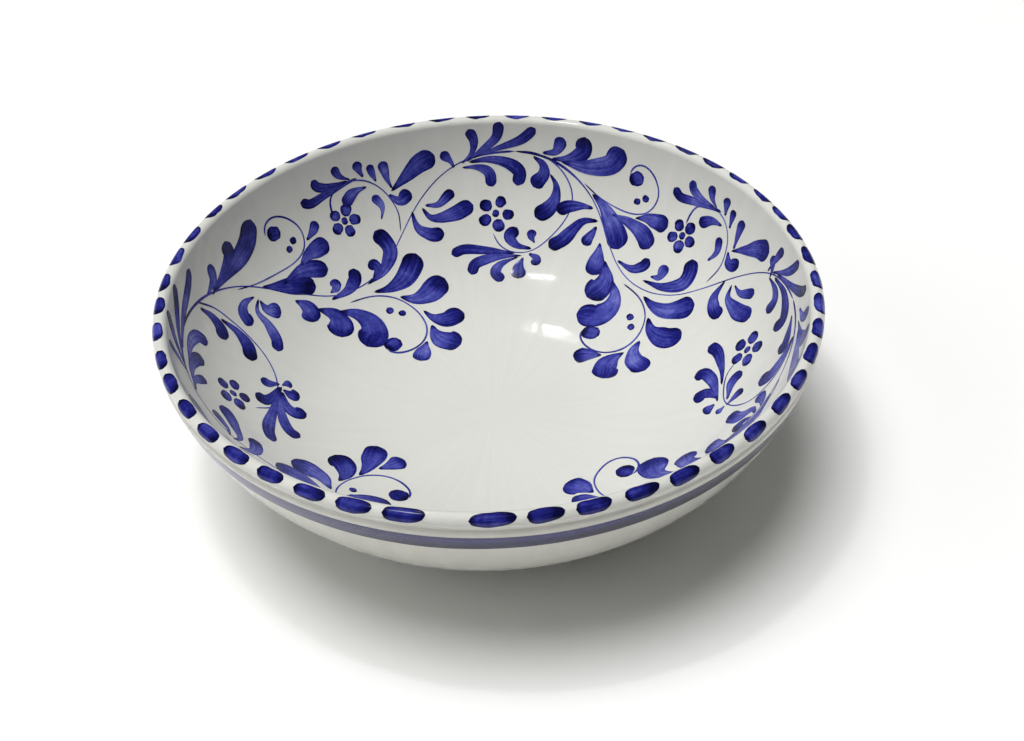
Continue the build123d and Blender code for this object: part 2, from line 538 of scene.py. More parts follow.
def build_glaze_coat(material):
    """The white glaze from the middle of the floor, over the lip and down to the wiped edge of the foot.

    Its rings are closest together on the lip, where the section bends most.
    """
    corner_radius = FOOT_OUTER + GLAZE + FOOT_SLOPE * FOOT_ROOT_OUTER + FOOT_ARRIVAL
    corner_path = outside_path_at_radius(corner_radius)
    paths = np.concatenate([
        MIDDLE_PATH - np.array([1.5, 4.0, 8.0, 13.0, 19.0, 26.0, 34.0]),
        eased(MIDDLE_PATH - 43.0, LIP_END, 1.7),
        eased(LIP_END, -LIP_END, 0.42),
        eased(-LIP_END, corner_path, 1.9),
        [corner_path],
    ])
    rings = [surface(ROUND, path) for path in paths]
    # How far the greyer painted shade of the outside is blended in along the section
    outside = list(np.clip((-paths - PAINTED_SHADE_START) / PAINTED_SHADE_BLEND, 0, 1))
    rings += foot_side_rings(FOOT_OUTER, GLAZE, FOOT_SLOPE, corner_radius)
    clay_corner = outside_path_at_radius(FOOT_OUTER + FOOT_SLOPE * FOOT_ROOT_OUTER + FOOT_SEAT_OUTER)
    back = np.concatenate([
        eased(clay_corner, -9.0, 8.0),
        eased(-9.0, 9.0, 1.5),
        eased(9.0, MIDDLE_PATH - 10.0, 9.0),
    ])
    rings += clay_side(back)
    outside = np.repeat(outside + [1.0] * (len(rings) - len(outside)), SEGMENTS)
    clay_pole = np.array([0.0, 0.0, SECTION[-1, 2] - GLAZE])
    points, faces = between_poles(np.array(rings), surface(0.0, MIDDLE_PATH), clay_pole)
    attributes = glaze_attributes(points, np.append(outside, [0.0, 0.0]))
    return make_piece("glaze_coat", points, faces, material, attributes)


def build_recess_glaze(material):
    """The glaze on the underside, inside the foot ring."""
    corner_radius = FOOT_INNER - GLAZE - FOOT_SLOPE * FOOT_ROOT_INNER - FOOT_ARRIVAL
    corner_path = outside_path_at_radius(corner_radius)
    paths = np.concatenate([
        UNDERSIDE_PATH + np.array([1.5, 6.0, 14.0, 24.0, 35.0]),
        eased(UNDERSIDE_PATH + 46.0, corner_path, 2.2),
        [corner_path],
    ])
    rings = [surface(ROUND, path) for path in paths]
    rings += foot_side_rings(FOOT_INNER, -GLAZE, -FOOT_SLOPE, corner_radius)
    clay_corner = outside_path_at_radius(FOOT_INNER - FOOT_SLOPE * FOOT_ROOT_INNER - FOOT_SEAT_INNER)
    rings += clay_side(eased(clay_corner, UNDERSIDE_PATH + 5.0, 9.0))
    clay_pole = np.array([0.0, 0.0, SECTION[0, 2] + GLAZE])
    points, faces = between_poles(np.array(rings), surface(0.0, UNDERSIDE_PATH), clay_pole)
    faces = [face[::-1] for face in faces]
    # The whole recess under the foot takes the greyer painted shade.
    attributes = glaze_attributes(points, np.ones(len(points)))
    return make_piece("recess_glaze_coat", points, faces, material, attributes)


# ---------------------------------------------------------------- brush strokes

PAINT_SINK = 0.05  # the underside of the paint is this far inside the glaze
PAINT_STAND = 0.02  # the edge of a stroke is this far above the glaze
LAYER_LIFT = 0.018
STACKED_LAYERS = 7
# How much higher a stroke is along its middle than at its edge
LINE_RELIEF = 0.05
LEAF_RELIEF = 0.09
DASH_RELIEF = 0.1
BAND_RELIEF = 0.05
LEAST_HALF_WIDTH = 0.06
FULLEST_BEND = 0.95  # the half width inside a bend stays below this share of the bend's radius
LINE_ROWS = 60  # a stroke of fewer rows has them closer together at its head
LINE_POINT = 2.5  # the length of the points of a thin line
PRESSURE_STEPS = 14


class Painting:
    """Brush strokes gathered into one mesh. Each stroke is a thin closed shell that follows the glaze.

    Strokes that cross are laid one on the other, so each lies a little higher than the one before.
    """

    def __init__(self):
        self.points = []
        self.faces = []
        self.attributes = {"along": [], "across": [], "seed": []}
        self.count = 0
        self.layer = 0

    def add(self, angle, path, along, across, relief):
        """Adds a shell over a grid of places. along and across run over its rows and columns."""
        rows, columns = angle.shape
        crown = np.sqrt(np.clip(1 - across**2, 0, 1)) * np.sqrt(np.clip(1 - (2 * along - 1) ** 8, 0, 1))
        self.layer = (self.layer + 1) % STACKED_LAYERS
        top = surface(angle, path, PAINT_STAND + LAYER_LIFT * self.layer + relief * crown)
        bottom = surface(angle, path, -PAINT_SINK)
        self.points += [top.reshape(-1, 3), bottom.reshape(-1, 3)]
        start = self.count
        below = rows * columns
        index = np.arange(below).reshape(rows, columns) + start
        for row in range(rows - 1):
            for column in range(columns - 1):
                a, b = index[row, column], index[row + 1, column]
                c, d = index[row + 1, column + 1], index[row, column + 1]
                self.faces.append((a, b, c, d))
                self.faces.append((d + below, c + below, b + below, a + below))
        border = np.concatenate([index[:, 0], index[-1, 1:], index[-2::-1, -1], index[0, -2:0:-1]])
        for here, there in zip(border, np.roll(border, -1)):
            self.faces.append((here + below, there + below, there, here))
        seed = rng.random()
        for key, grid in (("along", along), ("across", across), ("seed", np.full(angle.shape, seed))):
            self.attributes[key] += [grid.ravel(), grid.ravel()]
        self.count += 2 * below

    def build(self, name, material):
        points = np.vstack(self.points)
        faces = [tuple(int(corner) for corner in face) for face in self.faces]
        attributes = {key: np.concatenate(values) for key, values in self.attributes.items()}
        return make_piece(name, points, faces, material, attributes)


def sampled(wanted, places, rows):
    """The two columns of some rows, read at the wanted places along them."""
    return np.column_stack([np.interp(wanted, places, rows[:, column]) for column in (0, 1)])


def soften(values, times):
    """Evens out a run of values in place, between its first and its last."""
    for _ in range(times):
        values[1:-1] = (values[:-2] + 2 * values[1:-1] + values[2:]) / 4


def smooth_line(controls, samples):
    """Evenly spaced points, (angle, path), on a smooth line through the control points, and their lengths."""
    knots = np.array(controls, float)
    knots = np.vstack([2 * knots[0] - knots[1], knots, 2 * knots[-1] - knots[-2]])
    shares = np.linspace(0, 1, 12, endpoint=False)[:, None]
    spans = []
    for before, start, end, after in zip(knots, knots[1:], knots[2:], knots[3:]):
        slope = (end - before) * shares
        bend = (2 * before - 5 * start + 4 * end - after) * shares**2
        twist = (3 * start - 3 * end + after - before) * shares**3
        spans.append(0.5 * (2 * start + slope + bend + twist))
    line = np.vstack([*spans, knots[-2:-1]])
    line = spread(line, samples)
    soften(line, samples // 6)
    line = spread(line, samples)
    return line, lengths_of(line)


def lengths_of(line):
    """Distances along the bowl's surface from the first point of a line of (angle, path)."""
    steps = np.diff(line, axis=0)
    middle_radius = radius_at((line[1:, 1] + line[:-1, 1]) / 2)
    return np.concatenate([[0.0], np.cumsum(np.hypot(np.radians(steps[:, 0]) * middle_radius, steps[:, 1]))])


def spread(line, samples):
    """The line, with its points evenly spaced."""
    lengths = lengths_of(line)
    return sampled(np.linspace(0, lengths[-1], samples), lengths, line)


def heading_and_bend(line, lengths):
    """Unit tangents on the surface, as (round, down) pairs, and how sharply the line bends to its left."""
    radius = radius_at(line[:, 1])
    round_step = np.gradient(np.radians(line[:, 0]), lengths) * radius
    down_step = np.gradient(line[:, 1], lengths)
    size = np.hypot(round_step, down_step) + 1e-9
    tangent = np.column_stack([round_step, down_step]) / size[:, None]
    turn = np.gradient(tangent, lengths, axis=0)
    return tangent, tangent[:, 0] * turn[:, 1] - tangent[:, 1] * turn[:, 0]


def ragged(stops):
    """A column of factors near 1: how far the brush strays from the true edge of a stroke."""
    turns = rng.uniform(0.7, 1.5, 2) * np.array([1, 2])
    leads = rng.uniform(0, 2 * pi, 2)
    waves = np.sin(2 * pi * turns * stops[:, None] + leads) * [0.06, 0.03]
    return 1 + waves.sum(axis=1)[:, None]


def kept_clear(width, bend):
    """The half width on the inner side of a bend, narrowed so that the stroke doesn't fold over itself."""
    width = np.minimum(width, FULLEST_BEND / np.maximum(bend, 1e-6))
    soften(width, 3)
    return np.maximum(width, LEAST_HALF_WIDTH)


def brush(painting, controls, half_width, rows, columns, relief, samples=64):
    """Adds one stroke along a line. half_width gives its half width from its share along and its length."""
    line, lengths = smooth_line(controls, samples)
    tangent, bend = heading_and_bend(line, lengths)
    shares = lengths / lengths[-1]
    width = half_width(shares, lengths[-1])
    stops = np.sin(np.linspace(0, pi / 2, rows)) if rows < LINE_ROWS else np.linspace(0, 1, rows)
    spine = sampled(stops, shares, line)
    heading = sampled(stops, shares, tangent)
    left_reach = np.interp(stops, shares, kept_clear(width, bend))[:, None] * ragged(stops)
    right_reach = np.interp(stops, shares, kept_clear(width, -bend))[:, None] * ragged(stops)
    across = np.linspace(-1, 1, columns)[None, :] * np.ones((rows, 1))
    sides = across * np.where(across > 0, left_reach, right_reach)
    down = spine[:, 1:2] + heading[:, 0:1] * sides
    turn = -heading[:, 1:2] * sides / radius_at(spine[:, 1:2])
    angle = spine[:, 0:1] + np.degrees(turn)
    along = stops[:, None] * np.ones((1, columns))
    painting.add(angle, down, along, across, relief)


def leaf_width(width, blunt, belly):
    """A touch of the round brush: a tail, blunt where the brush came down, that swells to a round head.

    The greater the belly, the sooner the stroke is at its full width.
    """

    def half_width(share, length):
        neck = np.sin(np.clip(share / 0.7, 0, 1) ** 1.1 * pi / 2)
        late = 0.5 - 0.5 * np.cos(np.clip(share / 0.86, 0, 1) * pi)
        swell = blunt + (1 - blunt) * (belly * neck + (1 - belly) * late)
        cap = min(0.45, width / 2 / length)
        head = np.sqrt(np.clip(1 - (np.clip(share - (1 - cap), 0, cap) / cap) ** 2, 0, 1))
        from_tail = np.clip(share * length / (blunt * width / 2), 0, 1)
        return width / 2 * swell * head * np.sqrt(1 - (1 - from_tail) ** 2)

    return half_width


def thread_width(shares, widths):
    """A line drawn with the tip of the brush, with short points at its two ends."""
    wander = rng.normal(0, 0.09, PRESSURE_STEPS)

    def half_width(share, length):
        point = np.clip(share * length / LINE_POINT, 0, 1) * np.clip((1 - share) * length / LINE_POINT, 0, 1)
        pressure = 1 + np.interp(share, np.linspace(0, 1, PRESSURE_STEPS), wander)
        return np.interp(share, shares, widths) / 2 * pressure * np.sqrt(point)

    return half_width


def dab_width(width, power):
    """A dab: a blunt oval."""

    def half_width(share, length):
        return width / 2 * np.clip(1 - np.abs(2 * share - 1) ** power, 0, 1) ** (1 / power)

    return half_width


# ---------------------------------------------------------------- the scroll inside

# One length of the scroll, from one crest to the next. Points are (degrees right of the crest, path).
SCROLL_PITCH = 83.0
# Shares of the way along, and the width there
VINE_WIDTHS = ((0.0, 0.12, 0.22, 0.85, 0.95, 1.0), (1.3, 1.5, 0.75, 0.65, 1.1, 1.3))
TENDRIL_WIDTHS = {
    "inner": ((0.0, 0.3, 1.0), (1.2, 0.9, 0.7)),
    "lip": ((0.0, 0.5, 1.0), (0.75, 0.85, 1.2)),
    "rising": ((0.0, 0.6, 1.0), (0.7, 0.9, 1.15)),
    "floor": ((0.0, 0.5, 1.0), (0.8, 1.0, 1.4)),
}
VINE = [
    (0, 20.8), (5, 22), (10, 26.5), (15, 34.5), (19.5, 45), (23.5, 58), (27, 68), (31, 76), (36, 80.8),
    (41, 81.7), (45, 80.5), (51, 74.5), (56.5, 62), (62, 46), (67.5, 33), (72.5, 25.5), (78, 22), (83, 20.8),
]
TENDRILS = {
    "inner": [
        (1, 20.8), (5, 21.8), (9, 26.5), (12, 34), (13.7, 42), (14, 50), (13, 58), (11, 66), (8, 74),
        (5, 78.5), (1, 79.5), (-2, 77.5), (-4, 73.5), (-5, 68),
    ],
    "lip": [
        (16, 35), (20, 41), (25, 44.5), (29, 45), (32.3, 42), (33.7, 36), (33.7, 29), (32, 22), (30, 18),
        (28, 17), (26.3, 20), (26, 24),
    ],
    "rising": [
        (56, 58), (56.7, 48), (56, 40), (54.5, 32), (52, 25.5), (49, 22.5), (46, 23), (43.5, 27), (42.7, 33),
        (42.7, 38),
    ],
    "floor": [
        (35, 83.5), (42, 86.5), (47, 92), (50, 99), (51.8, 107), (52, 115), (50.5, 121), (47, 126), (42, 128),
        (37, 127), (33.5, 124), (32.3, 120),
    ],
}
LINE_SIZES = {"rows": 90, "columns": 5, "relief": LINE_RELIEF, "samples": 120}
VINE_SIZES = {"rows": 150, "columns": 5, "relief": LINE_RELIEF, "samples": 200}
# Leaves, in the order they are painted: the group they move with, then width and points from tail to head
LEAVES = [
    ("crest", [
        (5, [(-13.3, 29), (-14, 25), (-15.3, 21)]),
        (5.2, [(-11.5, 27), (-9.3, 21.5), (-8.6, 15), (-9.4, 9.5)]),
        (5.6, [(-10.5, 26), (-7, 20), (-4, 13), (-3.3, 6)]),
        (5.4, [(-9.5, 24.5), (-4, 19.5), (1, 14.5), (3.7, 8.5)]),
        (6.2, [(-11.5, 29.3), (-8, 29.7), (-5.7, 33), (-5.2, 38.5)]),
        (7.2, [(-10, 26.5), (-5, 25.5), (-1, 28), (1.2, 32.5), (0.9, 37.5)]),
    ]),
    ("hang", [
        (8.2, [(4, 23.2), (6.2, 27.5), (6.6, 33), (5.2, 38)]),
        (8.2, [(8, 32.5), (9.7, 39), (9.7, 47), (8.3, 53), (6.6, 55.8)]),
    ]),
    ("wing", [
        (6.6, [(6, 21), (8.8, 19.5), (9.8, 13.5)]),
        (8.8, [(8, 24), (12, 22.5), (14.8, 17.5), (14.8, 12.5)]),
        (11.5, [(10, 24.5), (16, 25.7), (21, 22), (22.7, 15.5)]),
    ]),
    ("drop", [
        (7.2, [(19.3, 48), (16, 48), (13, 49.7), (11.7, 51.7)]),
        (8.4, [(21.3, 54.3), (17.7, 56.3), (15.3, 63), (13.5, 69), (11.5, 72.5)]),
        (6.6, [(21.3, 57.5), (20.7, 62), (19.8, 67)]),
    ]),
    ("fan", [
        (11, [(18.3, 40), (22.3, 47), (25.8, 56), (27.8, 62.5)]),
        (9.6, [(23.5, 48.5), (29, 50), (33.3, 53.3), (35.3, 57)]),
        (9.6, [(30, 46.7), (33.5, 44.2), (37, 44.2)]),
    ]),
    ("drop", [
        (11.5, [(23.5, 66), (24.2, 73), (24.5, 80.5)]),
        (14, [(26.7, 75), (28.7, 83), (29.2, 89), (27.9, 93.5)]),
        (15, [(31, 84), (34.7, 92), (35.7, 100), (33.5, 107), (30, 109)]),
    ]),
    ("floor", [
        (12, [(42.7, 84.5), (47.5, 86.3), (52, 84), (55.3, 78), (56.3, 75)]),
        (13, [(48.8, 93), (53, 97.5), (57.5, 96.5), (61, 92)]),
        (12, [(53.5, 106), (55.5, 112.5), (59.5, 116), (63.5, 115)]),
        (15, [(53.7, 117), (53.3, 124), (55, 130), (57.3, 132.5)]),
        (11, [(48.3, 127), (44.8, 131), (41.5, 134.5)]),
    ]),
    ("rising", [
        (6.6, [(51.5, 28.3), (48.7, 29), (46.5, 32.5)]),
        (5, [(52.6, 48.5), (53.6, 42), (52.6, 36)]),
    ]),
    ("below", [
        (9, [(39.5, 77), (46, 74.5), (50.4, 67.5), (50.5, 60), (49.5, 56)]),
        (6.8, [(41, 73), (43.3, 71), (43.3, 66)]),
        (6, [(30, 72.5), (34.5, 74), (37.2, 70.5), (37.7, 67)]),
    ]),
    ("rising", [
        (5.2, [(50, 22), (43, 24.5), (39, 26), (37.5, 23.8)]),
        (5, [(48, 22), (44, 21.5), (41.6, 19), (41, 16)]),
        (5, [(48.5, 21.5), (46.6, 18), (45.9, 13.5)]),
        (5.4, [(51.3, 22.5), (50.8, 18), (50.6, 15)]),
        (4.6, [(53.7, 27), (53.3, 22), (53.1, 18.5)]),
    ]),
    ("climb", [
        (5.6, [(57.3, 34.5), (56.7, 28), (56.4, 20.5)]),
        (10, [(57, 36), (60.5, 30), (63.5, 24.5), (65.7, 22)]),
        (7.6, [(56.3, 37.5), (58, 42), (60, 40.5)]),
        (5.6, [(63.5, 48), (66.5, 48.5), (69.3, 43.3)]),
        (9, [(62.7, 49), (64.5, 55.8), (69.5, 55.3), (72.7, 52.3)]),
        (7.8, [(60.3, 50), (60.8, 60), (63.3, 65), (65.3, 65.5)]),
    ]),
    ("spray", [
        (5.8, [(1, 80), (-7, 78), (-13, 76.5), (-15.7, 78)]),
        (6.6, [(3, 81), (-5, 82.5), (-10.3, 85.5), (-11.3, 89.8)]),
        (6.6, [(2, 82), (-2.5, 86), (-4.5, 91.5), (-3.2, 95)]),
        (8.8, [(3.5, 82), (2.5, 88), (2.6, 91.5)]),
        (5.6, [(5, 79.5), (7, 81.5), (7.3, 84)]),
        (6.6, [(5.5, 76.5), (1.3, 75), (-0.7, 70), (0.4, 66.8)]),
        (5.6, [(6.2, 73), (5.2, 70), (5.1, 67.5)]),
    ]),
]
# Dots: group, centre and radius
DOTS = [
    ("lip", (27.7, 25.5), 4.2),
    ("lip", (29.2, 37.5), 1.9),
    ("lip", (31, 34.5), 2.0),
    ("floor", (36, 118.5), 4.8),
    ("floor", (43.7, 98.5), 2.1),
    ("floor", (46.7, 103), 2.0),
]
# Blossoms of five dabs round a small one: group, centre, ring radius, petal radius and first petal's angle
BLOSSOMS = [
    ("inner_blossom", (-4.3, 56.5), 7.2, 3.3, 10),
    ("rising_blossom", (43.1, 44.8), 6.3, 3.2, 12),
]
PETALS = 5
HEAD_REACH = 0.42  # a leaf's head reaches past its last point by this share of its width
DAB_STRETCH = 1.12
DAB_POWER = 2.1  # at 2 a dab is an ellipse, and above that it is fuller
# The scroll goes round in four lengths, painted freehand, so no two are the same: crest angle, extra degrees
# by its end, and what moved, in degrees to the right and millimetres down
MOVED_IN_THIRD = {
    "inner_blossom": (-1.2, 3), "lip": (1.5, 6), "rising_blossom": (2.3, -1), "floor": (1, 3),
    "rising": (0.7, 1.5),
}
REPEATS = [
    (83.0, 0.0, {}),
    (0.5, 6.5, {"inner_blossom": (4, 2.5), "wing": (-2, -4), "floor": (-0.5, -2.7)}),
    (181.0, 15.0, MOVED_IN_THIRD),
    (270.0, 6.0, {"floor": (-3, 2), "climb": (-3, 0), "drop": (3, -4)}),
]
# The repeat that lies to the right of each
NEXT_REPEAT = {0: 1, 1: 3, 2: 0, 3: 2}
# Groups that don't take up a repeat's extra degrees
KEEPS_PLACE = ("inner", "hang", "inner_blossom", "spray")
# Groups that a repeat, given by its number, has in its own form. They are neither moved nor stretched.
OWN_LEAVES = {
    (1, "crest"): [
        (5, [(-11.3, 29), (-12, 25), (-13.3, 21)]),
        (5.2, [(-13, 28), (-12.5, 20), (-11.7, 13.5)]),
        (5.6, [(-11.4, 26), (-7, 17.3), (-4.6, 8)]),
        (5.4, [(-9.8, 24), (-3.2, 18.7), (1.1, 13.3), (2.8, 9)]),
        (6.2, [(-11.5, 29.3), (-8, 29.7), (-5.7, 33), (-5.2, 38.5)]),
        (7.2, [(-10, 26.5), (-5, 25.5), (-1, 28), (1.2, 32.5), (0.9, 37.5)]),
    ],
    (1, "hang"): [
        (8, [(3, 24.7), (5.7, 28.7), (8.2, 33.3), (8.7, 36)]),
        (8.5, [(9, 26), (11, 33), (13.7, 44), (13.3, 50)]),
    ],
    (1, "drop"): [
        (7, [(23.2, 46), (20.5, 47), (18.8, 50)]),
        (8.5, [(24.3, 49.5), (22, 53), (22.2, 62), (20.5, 67.5)]),
        (7, [(25, 51), (25, 57), (26.5, 60)]),
        (11, [(30.5, 61), (30.8, 68), (30.5, 71)]),
        (13, [(34.5, 74), (35, 82), (33.2, 86)]),
        (15, [(39, 86), (39.5, 96), (36.8, 102.5), (35, 104)]),
    ],
    (1, "floor"): [
        (12, [(48, 85), (53, 87), (57.5, 84.5), (60.5, 78)]),
        (13, [(54, 94), (58.5, 98), (62.5, 97), (66, 92.5)]),
        (8, [(56, 110), (59, 115.5), (62, 117)]),
        (14, [(55.5, 117), (56, 124), (57.7, 128)]),
    ],
    (1, "spray"): [
        (6.5, [(5.7, 77.5), (-2, 75.5), (-7, 75.5), (-9, 77.5)]),
        (7.5, [(11.5, 80), (2.5, 82.5), (-2, 86), (-2.3, 89)]),
        (8.5, [(10, 80), (6.3, 86), (6.2, 91)]),
        (8, [(12, 81.5), (13, 85)]),
        (5, [(14.5, 75), (15.7, 78)]),
        (7, [(12.5, 74), (8, 72), (6, 69), (5.8, 67)]),
        (6, [(14.5, 74), (13, 69), (12.2, 66)]),
    ],
    (2, "crest"): [
        (5, [(-10.5, 26.5), (-9.2, 18), (-8.8, 9.5)]),
        (5.4, [(-9.5, 25), (-6, 17), (-3, 10), (-1.6, 6.5)]),
        (5.4, [(-9, 24.5), (-2, 18), (3.5, 12), (6.3, 6.5)]),
        (5.2, [(-5, 22.5), (5, 18.5), (11, 15), (13.5, 11)]),
        (5.5, [(-14, 31), (-11, 31.5), (-9, 36), (-7.9, 39.5)]),
        (7.4, [(-13.5, 30.5), (-7, 30), (-3.5, 33.5), (-2.5, 37)]),
        (7.4, [(-7, 28.5), (-1, 28), (3, 32), (3.9, 37)]),
    ],
    (2, "hang"): [
        (8, [(10.2, 28), (11.4, 36), (11.2, 43), (10, 47)]),
        (8.5, [(13.1, 42), (13.8, 53.3), (12.6, 62), (10.2, 65.5)]),
    ],
    (2, "wing"): [
        (6.6, [(14.5, 28.5), (18.5, 27), (20, 21.5)]),
        (8.8, [(16, 31), (22.5, 29.5), (26.6, 25), (27, 20.5)]),
        (11.5, [(16.2, 31), (25, 30.7), (32.3, 27), (34.7, 20.5)]),
    ],
    (2, "spray"): [
        (6.5, [(6, 87), (-5, 83.5), (-13, 79), (-17, 79)]),
        (7, [(4, 87.5), (-6, 88.5), (-11.5, 91.5), (-12.7, 94.5)]),
        (8, [(4, 88), (-1, 91.5), (-2.9, 96), (-2.3, 99)]),
        (9, [(5, 88), (4.4, 92), (4.5, 94)]),
        (5.6, [(6.5, 87), (7.7, 89), (8.1, 90)]),
        (6.5, [(5.5, 86), (0, 82.5), (-2.2, 78.5), (-1.6, 75.5)]),
        (5.5, [(6.5, 85.5), (4.9, 80), (4.7, 77)]),
    ],
    (2, "fan"): [
        (11, [(29, 50), (33, 56), (37.5, 62), (40, 66)]),
        (9.5, [(34, 57), (40, 57), (44.5, 60), (46, 62)]),
        (9.5, [(41.5, 55), (45, 51.5), (49.5, 51)]),
        (5.5, [(46.5, 44.3), (48.5, 42), (50, 39)]),
    ],
    (2, "drop"): [
        (7.5, [(25.5, 50.5), (22, 48.8), (19.5, 51.5), (19, 56)]),
        (7.5, [(26, 53), (23, 57), (22.5, 66), (20.5, 74), (18.5, 76.5)]),
        (9, [(26, 54), (25.7, 60), (27.3, 64)]),
        (12, [(34, 67.5), (35.3, 74), (35, 79)]),
        (14, [(37.5, 79), (40.3, 87), (39.8, 93), (38.5, 95.5)]),
        (15, [(42, 87), (46.3, 94), (48, 103), (46, 109.5), (43.5, 111)]),
    ],
    (2, "below"): [
        (6.5, [(44, 76), (46, 75.5), (47, 73)]),
        (7.5, [(43, 79.5), (49, 80), (52.3, 76.5), (53.2, 73)]),
        (9.5, [(55, 82), (61, 78.5), (65, 70), (65, 63), (64, 58.5)]),
        (7, [(57.5, 80), (60, 76), (59.3, 72.5)]),
    ],
    (3, "floor"): [
        (12, [(50, 88), (55, 84), (58.5, 78), (59, 75)]),
        (15, [(50.5, 93.5), (56.5, 95.5), (60.5, 92), (61.6, 89)]),
        (13, [(54, 103), (56.5, 109.5), (61, 113), (64, 112.5)]),
        (12, [(54.7, 116), (57.5, 124), (62, 130), (65.5, 133)]),
        (10, [(54.8, 128), (54, 135), (53.8, 139)]),
    ],
}
OWN_TENDRILS = {
    (1, "inner"): [
        (9, 25), (12.5, 32), (15.5, 41), (17.6, 53), (17.6, 62), (15.5, 71), (12, 76), (6, 76), (2.5, 73),
        (0.8, 67),
    ],
    (1, "floor"): [
        (37, 84), (45, 88), (51, 95), (54, 103), (54.8, 110), (53.5, 118), (49.5, 126), (40.5, 129),
        (34.5, 126), (32.7, 120), (34, 114), (38, 110), (41, 110.5),
    ],
    (2, "inner"): [
        (10.5, 24.5), (14, 36), (15.2, 48), (15.3, 58), (14.1, 70), (11, 79), (7, 84), (1, 86), (-3.4, 84),
        (-6.7, 73),
    ],
}


def slack_share(right):
    """How much of a repeat's extra degrees has been used this far to the right of its crest."""
    return float(np.interp(right, [4, 27, SCROLL_PITCH], [0.0, 0.7, 1.0]))


def place_on_bowl(points, repeat, group):
    """Turns a motif's points into (angle, path) for one repeat."""
    crest, slack, moved = repeat
    right_shift, down_shift = moved.get(group, (0, 0))
    if group in KEEPS_PLACE:
        slack = 0
    placed = []
    for right, down in points:
        placed.append((crest - right - right_shift - slack * slack_share(right), down + down_shift))
    return placed


def own_place(points, repeat):
    """Turns the points of a stroke that only this repeat has into (angle, path)."""
    return [(repeat[0] - right, down) for right, down in points]


def leaf_strokes(number, repeat):
    """The leaves of one repeat, as widths and placed lines."""
    strokes = []
    for group, leaves in LEAVES:
        if (number, group) not in OWN_LEAVES:
            strokes += [(width, place_on_bowl(points, repeat, group)) for width, points in leaves]
    for (owner, _), leaves in OWN_LEAVES.items():
        if owner == number:
            strokes += [(width, own_place(points, repeat)) for width, points in leaves]
    return strokes


def joined_vine(repeat, after):
    """The vine from one crest to the next, eased to end exactly on the next repeat's crest."""
    line = place_on_bowl(VINE, repeat, "vine")
    gap = (after[0] - line[-1][0] + 180) % 360 - 180
    placed = []
    for (angle, path), (right, _) in zip(line, VINE):
        placed.append((angle + gap * (right / SCROLL_PITCH) ** 2, path))
    return placed


def lengthened(points, extra):
    """The points of a stroke, with its head drawn on by some millimetres."""
    (angle, path), (last_angle, last_path) = points[-2:]
    radius = float(radius_at(last_path))
    round_step = radians(last_angle - angle) * radius
    size = hypot(round_step, last_path - path)
    share = extra / size
    return [*points, (last_angle + (last_angle - angle) * share, last_path + (last_path - path) * share)]


def add_dab(painting, centre, radius, heading):
    """Adds a round dab, drawn a little longer along its heading."""
    angle, path = centre
    reach = radius * DAB_STRETCH
    turn = degrees(reach * cos(radians(heading)) / float(radius_at(path)))
    down = reach * sin(radians(heading))
    controls = [(angle - turn, path - down), (angle, path), (angle + turn, path + down)]
    brush(painting, controls, dab_width(2 * radius, DAB_POWER), 19, 11, LEAF_RELIEF, samples=40)


def add_blossom(painting, centre, ring_radius, petal_radius, first_angle):
    angle, path = centre
    radius = float(radius_at(path))
    add_dab(painting, centre, petal_radius * 0.62, 90.0)
    for petal in range(PETALS):
        turn = radians(first_angle + petal * 360 / PETALS)
        petal_centre = (angle - degrees(ring_radius * cos(turn) / radius), path + ring_radius * sin(turn))
        heading = degrees(atan2(sin(turn), -cos(turn)))
        add_dab(painting, petal_centre, petal_radius * rng.uniform(0.92, 1.08), heading)


def build_scroll(material, line_material, dab_material):
    """The painted scroll inside the bowl: stems, tendrils, leaves and blossoms."""
    stems = Painting()
    tendrils = Painting()
    blossoms = Painting()
    for number, repeat in enumerate(REPEATS):
        leaves = Painting()
        after = REPEATS[NEXT_REPEAT[number]]
        brush(stems, joined_vine(repeat, after), thread_width(*VINE_WIDTHS), **VINE_SIZES)
        for group, points in TENDRILS.items():
            own = OWN_TENDRILS.get((number, group))
            line = own_place(own, repeat) if own else place_on_bowl(points, repeat, group)
            brush(tendrils, line, thread_width(*TENDRIL_WIDTHS[group]), **LINE_SIZES)
        for width, placed in leaf_strokes(number, repeat):
            line = lengthened(placed, HEAD_REACH * width)
            # The wider leaves swell sooner
            belly = np.clip((width - 4) / 14 + rng.uniform(-0.15, 0.2), 0, 0.6)
            form = leaf_width(width * rng.uniform(1.03, 1.13), rng.uniform(0.9, 1.7) / width, belly)
            brush(leaves, line, form, 34, 11, LEAF_RELIEF)
        for group, centre, radius in DOTS:
            add_dab(blossoms, place_on_bowl([centre], repeat, group)[0], radius, rng.uniform(-30, 30))
        for group, centre, ring_radius, petal_radius, first_angle in BLOSSOMS:
            place = place_on_bowl([centre], repeat, group)[0]
            add_blossom(blossoms, place, ring_radius, petal_radius, first_angle + rng.uniform(-8, 8))
        leaves.build(f"scroll_leaves_{number + 1}", material)
    stems.build("scroll_stems", line_material)
    tendrils.build("scroll_tendrils", line_material)
    blossoms.build("scroll_blossoms", dab_material)


# ---------------------------------------------------------------- lip and outside

DASH_COUNT = 48
DASH_START_ANGLE = 268.4
DASH_CLOSING_GAP = 5.9
DASH_SWINGS = [(1, 1.8, 80.0), (2, 1.4, -43.0)]  # times round the lip, size and lead in degrees
DASH_LENGTH = 15.9
DASH_LONG_ANGLE = 262.0  # the dashes are longest here, where the painter began and ended
DASH_LONG_SHARE = 0.3
DASH_LONG_POWER = 30  # the greater this is, the fewer dashes are longer
DASH_WIDTH = 8.3
DASH_PATH = -2.4  # the middle of a dash is just outside the crest
DASH_SIDE_SHIFT = 1.1  # at the two sides of the bowl the dashes sit this much further in
BAND_TOP = 85.8
BAND_FOOT = 75.9
BAND_COLUMNS = 11
BAND_DARK_REFLECTION_ANGLE = 322.0  # the band is darkest on this side: a painted dark reflection
